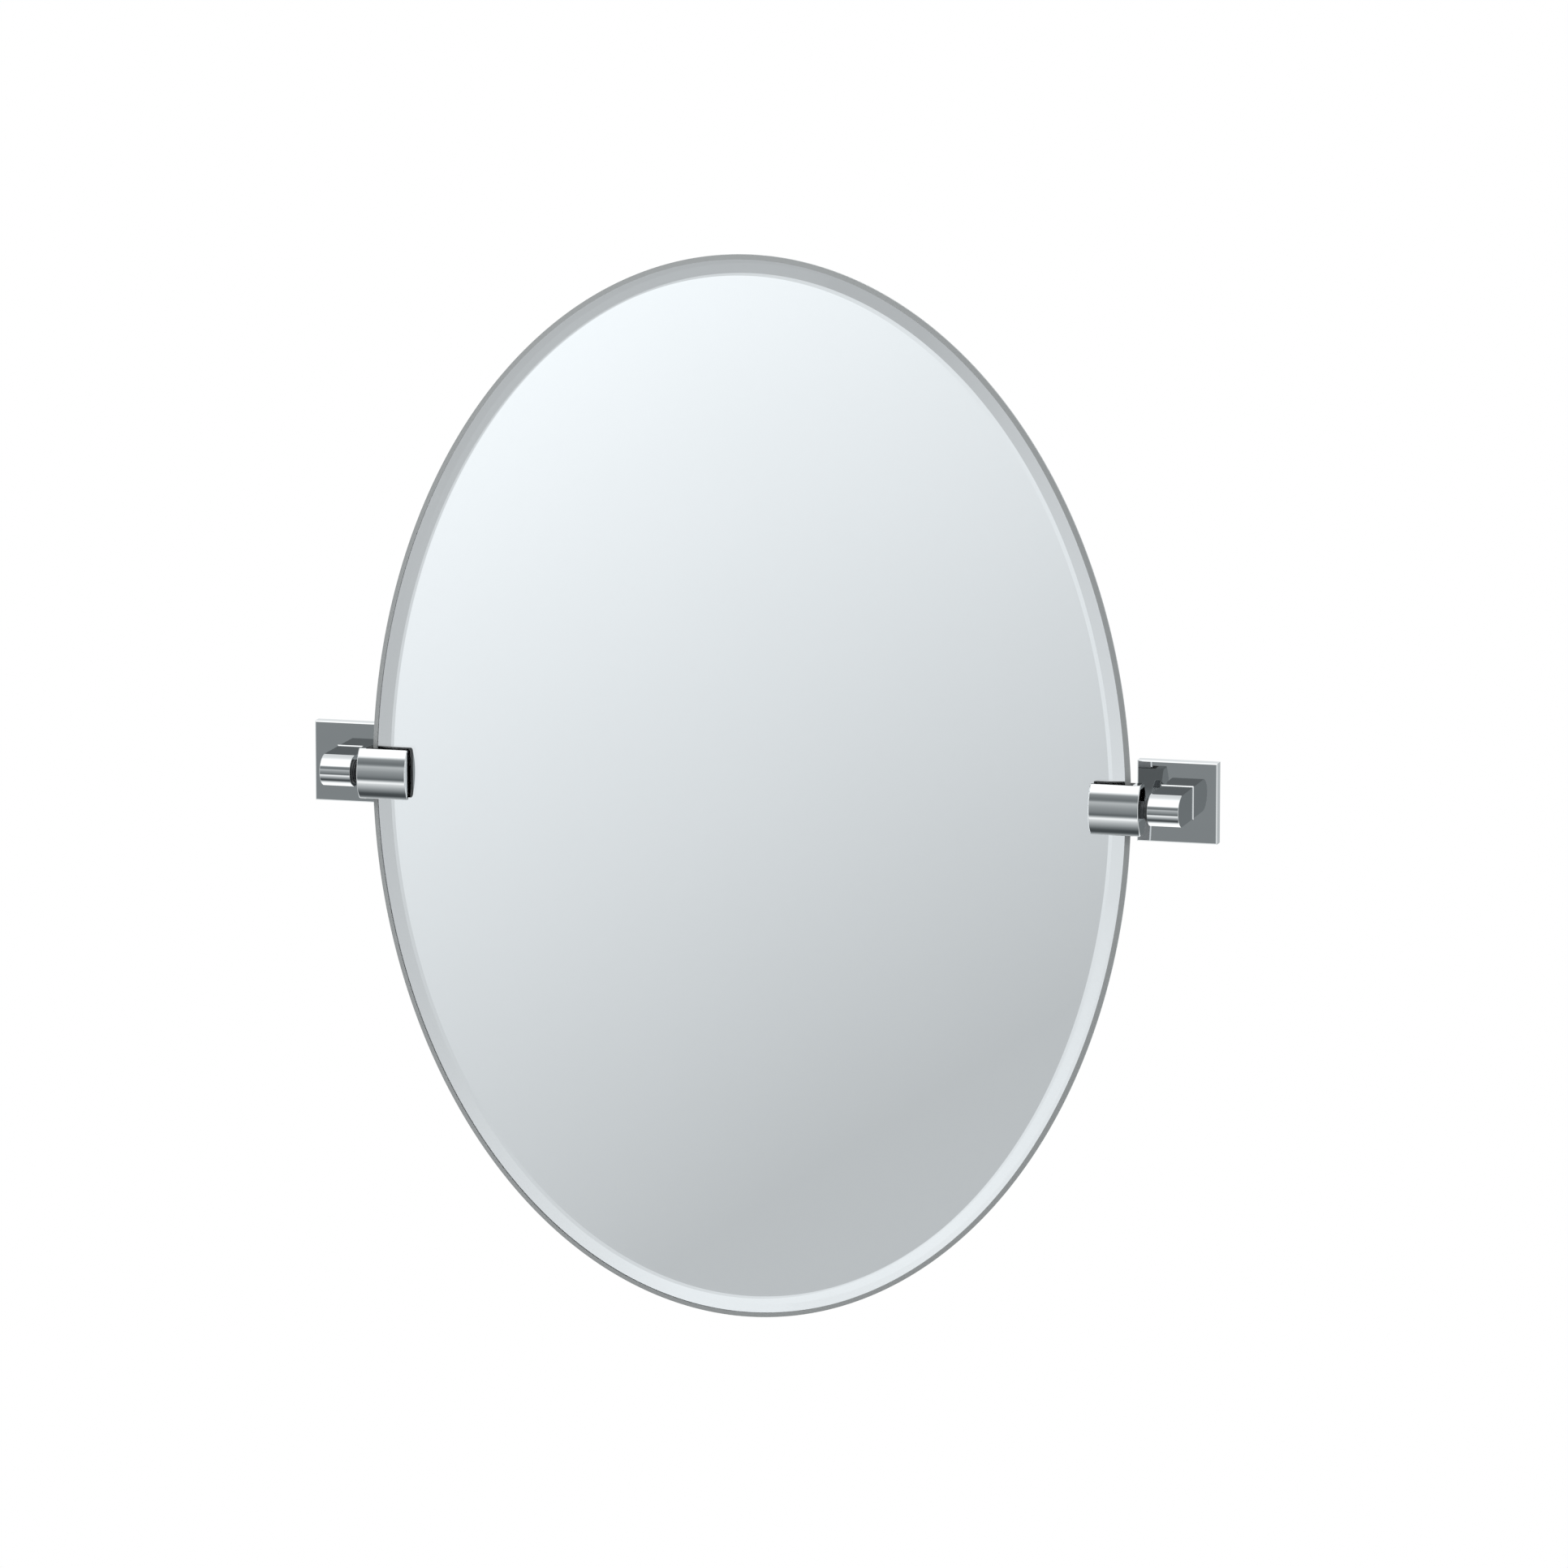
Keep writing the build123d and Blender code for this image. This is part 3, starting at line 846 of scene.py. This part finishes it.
# %% Floor
FLOOR_PLACE = (0, -0.6, -0.9)
FLOOR_SIZE = (3.2, 3.0)
bpy.ops.object.select_all(action="DESELECT")
bpy.ops.mesh.primitive_plane_add(size=1, location=FLOOR_PLACE)
bpy.context.object.scale = (*FLOOR_SIZE, 1)
floor = start("studio_floor")
pale = make_finish(
    "pale_floor", scale=3, dark=(0.86, 0.86, 0.86), light=(0.90, 0.90, 0.90), roughness=0.8, detail=2,
)
tree = pale.node_tree
one_sided = node(tree, "ShaderNodeMixShader", (300, 200))
parts = (
    node(tree, "ShaderNodeNewGeometry", (0, 300)).outputs["Backfacing"],
    tree.nodes["Principled BSDF"].outputs[0],
    node(tree, "ShaderNodeBsdfTransparent", (0, 150)).outputs[0],
)
for socket, part in zip(one_sided.inputs, parts):
    feed(tree, socket, part)
feed(tree, tree.nodes["Material Output"].inputs["Surface"], one_sided.outputs[0])
floor.data.materials.append(pale)
floor.visible_glossy = False
floor.visible_transmission = False
print("floor at z =", FLOOR_PLACE[2])

# %% Lamp
LAMP_PLACE = Vector((-0.6, -1.6, 2.2))
LAMP_SIZE = 1.6
LAMP_POWER = 25
lamp = bpy.data.lights.new("overhead_softbox", "AREA")
lamp.size = LAMP_SIZE
lamp.energy = LAMP_POWER
softbox = bpy.data.objects.new("overhead_softbox", lamp)
bpy.context.scene.collection.objects.link(softbox)
softbox.location = LAMP_PLACE
softbox.rotation_mode = "QUATERNION"
softbox.rotation_quaternion = (-LAMP_PLACE).to_track_quat("-Z", "Y")
softbox.visible_glossy = False
softbox.visible_transmission = False
print("lamp:", LAMP_POWER, "W")

# %% [markdown]
# ## What the mirror shows
# A flat mirror shows only a narrow patch of the room, so a studio puts a graded card there: white at its
# upper left, pale grey at its lower right. It could be a sheet by itself, but the bevel and other views
# would then show nothing beside it. So it is part of a great shell round the set, which adds its light and
# lets all else through. Light linking makes that light reach the pane alone. Round the card, the shell too
# is brighter high up and to the left. The bevel is a prism, bends light towards its thick side and so shows
# parts of the shell that lie beside the card.

# %% Sizes and light of the card
CARD_PLACE = (-1.296, -4.745, -0.896)  # on the shell, where the flat pane sends the camera's look
CARD_HALF = (0.43, 0.59)  # half its width and height
CARD_FADE = (1.02, 1.25)  # over which part of that it gives way to the rest of the shell
CARD_MIDDLE = 0.743
CARD_SLOPE = (-0.30, 0, 0.44)  # how much brighter it gets for each metre along X, Y and Z
CARD_LIMITS = (0.54, 1.02)
AROUND_MIDDLE = 0.64
AROUND_SLOPE = (-0.16, 0, 0.40)
AROUND_LIMITS = (0.48, 0.893)
CARD_TINT = (0.94, 0.961, 0.985)
print("card:", [2 * half for half in CARD_HALF], "m")

# %% Places on the card
glow = bpy.data.materials.new("graded_card")
glow.use_nodes = True
tree = glow.node_tree
tree.nodes.clear()
place = node(tree, "ShaderNodeTexCoord", (-1400, 0)).outputs["Object"]
from_middle = reckon_vector(tree, (-1200, 0), "SUBTRACT", place, CARD_PLACE).outputs[0]
in_halves = (1 / CARD_HALF[0], 1 / CARD_HALF[0], 1 / CARD_HALF[1])
oval = reckon_vector(tree, (-1000, -400), "MULTIPLY", from_middle, in_halves).outputs[0]
radius = reckon_vector(tree, (-800, -400), "LENGTH", oval).outputs["Value"]
off_card = reach(tree, (-600, -400), radius, CARD_FADE, interpolation_type="SMOOTHSTEP")
print("the card fades out at", round(CARD_FADE[1] * CARD_HALF[0], 3), "m to each side")


# %% Light of the card and round it
def graded(middle, slope, limits, height):
    """A light that rises along a slope from its value in the card's middle, kept within limits."""
    rise = reckon_vector(tree, (-1000, height), "DOT_PRODUCT", from_middle, slope)
    total = reckon(tree, (-800, height), "ADD", rise.outputs["Value"], middle)
    kept = node(tree, "ShaderNodeClamp", (-600, height))
    for key, part in zip(("Value", "Min", "Max"), (total, *limits)):
        feed(tree, kept.inputs[key], part)
    return kept.outputs[0]


card = graded(CARD_MIDDLE, CARD_SLOPE, CARD_LIMITS, 200)
around = graded(AROUND_MIDDLE, AROUND_SLOPE, AROUND_LIMITS, -100)
light = node(tree, "ShaderNodeEmission", (-200, 0))
feed(tree, light.inputs["Color"], (*CARD_TINT, 1))
level = mix(tree, (-400, 0), off_card, card, around, data_type="FLOAT")
feed(tree, light.inputs["Strength"], level)
see_through = node(tree, "ShaderNodeBsdfTransparent", (-200, -200))
both = node(tree, "ShaderNodeAddShader", (0, 0))
feed(tree, both.inputs[0], light.outputs[0])
feed(tree, both.inputs[1], see_through.outputs[0])
feed(tree, node(tree, "ShaderNodeOutputMaterial", (200, 0)).inputs["Surface"], both.outputs[0])
print("card and shell:", len(tree.nodes), "nodes")

# %% Shell
SHELL_RADIUS = 5.0
SHELL_SEGMENTS = 64
SHELL_RINGS = 32
bpy.ops.object.select_all(action="DESELECT")
bpy.ops.mesh.primitive_uv_sphere_add(
    segments=SHELL_SEGMENTS, ring_count=SHELL_RINGS, radius=SHELL_RADIUS,
)
shell = start("reflection_shell")
shell.data.materials.append(glow)
shell.visible_camera = False
shell.visible_diffuse = False
shell.visible_shadow = False
only_pane = bpy.data.collections.new("lit_by_shell")
only_pane.objects.link(pane)
shell.light_linking.receiver_collection = only_pane
print("shell radius:", SHELL_RADIUS, "m")
